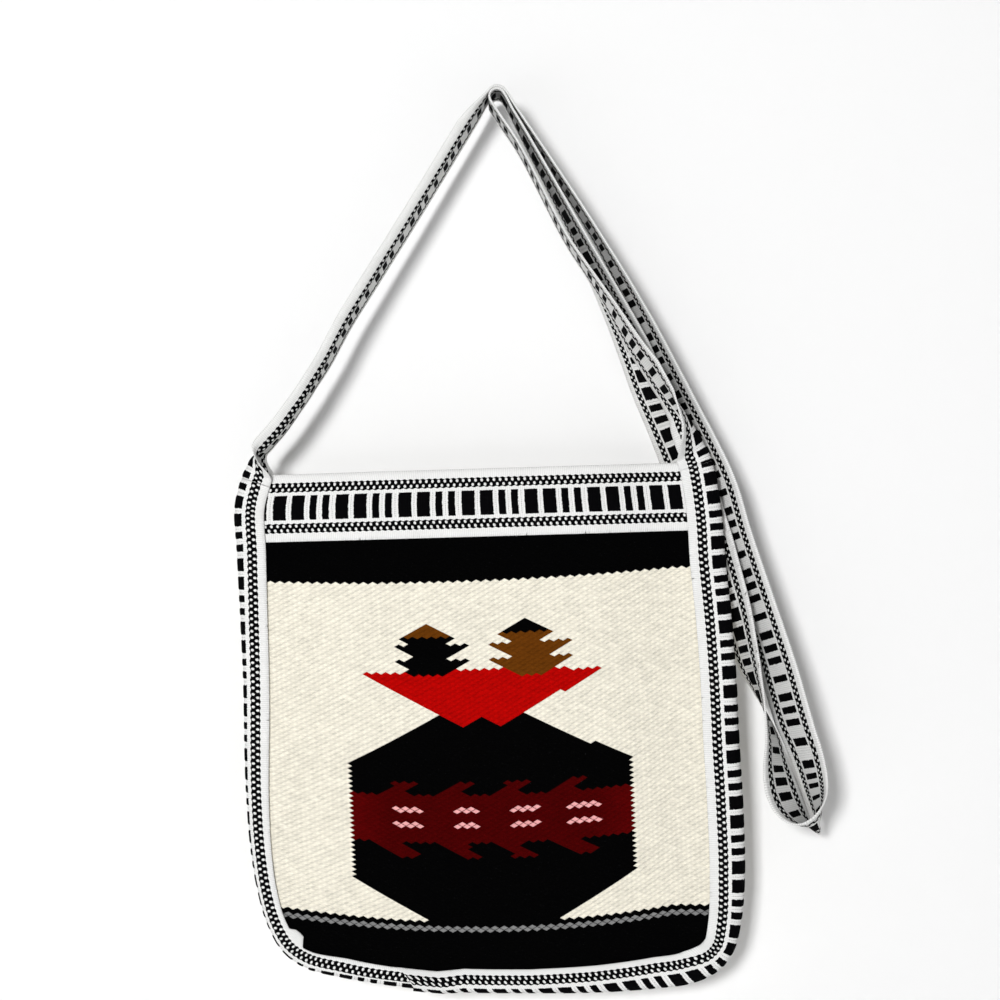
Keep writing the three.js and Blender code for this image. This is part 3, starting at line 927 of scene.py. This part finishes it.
def wool_panel(name, node, front):
    """Panel of raised weft diamonds, closed by a plain inner face."""
    bm = bmesh.new()
    bmesh.ops.create_grid(bm, x_segments=LATTICE, y_segments=LATTICE, size=LATTICE / 2)
    middle_row = round((ROW_MIDDLE - ROW_ZERO) / PICK)
    for v in bm.verts:
        i, j = round(v.co.x), round(v.co.y)
        v.co = ((i - j) * WARP + WARP, 0, ROW_ZERO + (middle_row - middle_row % 2 + i + j) * PICK)
    outside = []
    for f in bm.faces:
        x, z = cloth(f.calc_center_median().x, f.calc_center_median().z)
        in_width = left_x(z) + SIDE_SEAM < x < right_x(z) - SIDE_SEAM
        in_height = bottom_z(x) + BOTTOM_SEAM < z < mouth_z(x) - BAND + MOUTH_SEAM
        if not (in_width and in_height):
            outside.append(f)
    bmesh.ops.delete(bm, geom=outside, context="FACES")
    bm.normal_update()
    if bm.faces[:][0].normal.y > 0:
        bmesh.ops.reverse_faces(bm, faces=bm.faces[:])
    # Colour of each face: the weft's own colour, and on the bead sides painted shade as well
    yarn = bm.loops.layers.float_color.new("yarn")

    def dye(f, colour):
        shade = 1 + random.uniform(-0.06, 0.06)
        for l in f.loops:
            l[yarn] = (*(k * shade for k in colour), 1)

    lines = {}
    for f in bm.faces:
        c = f.calc_center_median()
        colour = yarn_at(c.x, c.z) if front else CREAM
        if is_line(colour):
            lines[f] = colour
            colour = BLACK if colour == GREY else WINE
        dye(f, colour)
    weft = bm.faces[:]
    inner = bmesh.ops.extrude_face_region(bm, geom=weft, use_keep_orig=True)
    back_verts = [g for g in inner["geom"] if isinstance(g, bmesh.types.BMVert)]
    back_faces = {g for g in inner["geom"] if isinstance(g, bmesh.types.BMFace)}
    bmesh.ops.translate(bm, verts=back_verts, vec=(0, CLOTH_THICK, 0))
    plain_weft = [f for f in weft if f not in lines]
    sides = bmesh.ops.inset_individual(bm, faces=plain_weft, thickness=BEAD_INSET, depth=BEAD_RISE,
                                       use_even_offset=True)
    bm.normal_update()
    # Painted shade: every bead's side faces are darkened, most on the sides facing down-right and up-left,
    # as shade in the crevices between weft passes under light from the upper left
    for f in sides["faces"]:
        deep = random.uniform(0.74, 0.92) if f.normal.x * f.normal.z < 0 else 0.95
        for l in f.loops:
            l[yarn] = (*(k * deep for k in l[yarn][:3]), 1)
    bmesh.ops.inset_individual(bm, faces=list(lines), thickness=LINE_INSET, depth=LINE_RISE,
                               use_even_offset=True)
    for f, colour in lines.items():
        dye(f, colour)
    bmesh.ops.recalc_face_normals(bm, faces=bm.faces)
    weave = bm.loops.layers.uv.new("weave")
    bake = bm.loops.layers.uv.new("OFBake")
    for f in bm.faces:
        plain = f in back_faces
        for l in f.loops:
            co = l.vert.co
            l[weave].uv = (co.x, co.z)
            u, v = (co.x - BAKE_LEFT) / BAKE_WIDE, (co.z - BAKE_LOW) / BAKE_TALL
            l[bake].uv = (u * 0.2, 0.99 - v * 0.19) if plain else (u, v * 0.79)
    for v in bm.verts:
        x, z = cloth(v.co.x, v.co.z)
        inward = v.co.y + 0.6
        if front:
            v.co = (x, -CLOTH_FACE - crown(x, z) + behind_band(x, z) + inward, z)
        else:
            v.co = (x, CLOTH_FACE - behind_band(x, z) - inward, z)
    if not front:
        bmesh.ops.reverse_faces(bm, faces=bm.faces[:])
    return finish_piece(bm, name, node, wool)


front_panel = wool_panel("front_panel_cloth", "front_panel", True)
back_panel = wool_panel("back_panel_cloth", "back_panel", False)

# What each cloth was before it was sewn
run_at(lap_right) * MM
(run_at(GUSSET_END) - run_at(lap_left)) * MM
(TRACE[-1] - run_at(GUSSET_END)) * MM


# Stage
def plain_material(name, colour):
    material = bpy.data.materials.new(name)
    material.use_nodes = True
    shader = material.node_tree.nodes["Principled BSDF"]
    shader.inputs["Base Color"].default_value = (*colour, 1)
    shader.inputs["Roughness"].default_value = 0.9
    return material


def stage_plane(name, size, location, turn, material):
    bm = bmesh.new()
    bmesh.ops.create_grid(bm, x_segments=1, y_segments=1, size=size)
    mesh = bpy.data.meshes.new(name)
    bm.to_mesh(mesh)
    bm.free()
    plane = bpy.data.objects.new(name, mesh)
    plane.location = location
    plane.rotation_euler = turn
    mesh.materials.append(material)
    bpy.context.scene.collection.objects.link(plane)


def wall_material():
    """Pale backdrop, clear from behind and to shadow rays."""
    material = plain_material("pale_wall", (0.86, 0.86, 0.86))
    t = Tree(material.node_tree)
    behind = Num(t, t.node("ShaderNodeNewGeometry").outputs["Backfacing"])
    shadow = t.node("ShaderNodeLightPath").outputs["Is Shadow Ray"]
    either = t.node("ShaderNodeMixShader")
    t.put(either.inputs[0], behind.max(shadow))
    t.put(either.inputs[1], material.node_tree.nodes["Principled BSDF"].outputs[0])
    t.put(either.inputs[2], t.node("ShaderNodeBsdfTransparent").outputs[0])
    t.put(material.node_tree.nodes["Material Output"].inputs["Surface"], either.outputs[0])
    return material


stage_plane("wall", 3, (0, 0.0485, 0), (math.pi / 2, 0, 0), wall_material())
stage_plane("floor", 6, (0, 0, -0.75), (0, 0, 0), plain_material("pale_floor", (0.82, 0.82, 0.82)))

world = bpy.data.worlds.new("studio")
bpy.context.scene.world = world
world.use_nodes = True
world.node_tree.nodes["Background"].inputs["Color"].default_value = (1, 1, 1, 1)
world.node_tree.nodes["Background"].inputs["Strength"].default_value = 0.16


def lamp(name, location, target, size, energy):
    data = bpy.data.lights.new(name, "AREA")
    data.size = size
    data.energy = energy
    light = bpy.data.objects.new(name, data)
    light.location = location
    light.rotation_euler = (Vector(target) - Vector(location)).to_track_quat("-Z", "Y").to_euler()
    bpy.context.scene.collection.objects.link(light)


BAG_MIDDLE = (0, 0, -0.28)
lamp("key", (-0.7, -3.05, 0.2), BAG_MIDDLE, 0.45, 78)
lamp("fill", (0.9, -1.8, 0.1), BAG_MIDDLE, 1.4, 1.5)
lamp("rear", (0.3, 1.8, 0.5), BAG_MIDDLE, 1.4, 16)

camera_data = bpy.data.cameras.new("camera")
camera_data.sensor_width = 36
camera_data.lens = 78
camera = bpy.data.objects.new("camera", camera_data)
camera.location = (0.0018, -1.3, -0.2448)
camera.rotation_euler = (math.pi / 2, 0, 0)
bpy.context.scene.collection.objects.link(camera)
bpy.context.scene.camera = camera
bpy.context.scene.view_settings.view_transform = "Standard"
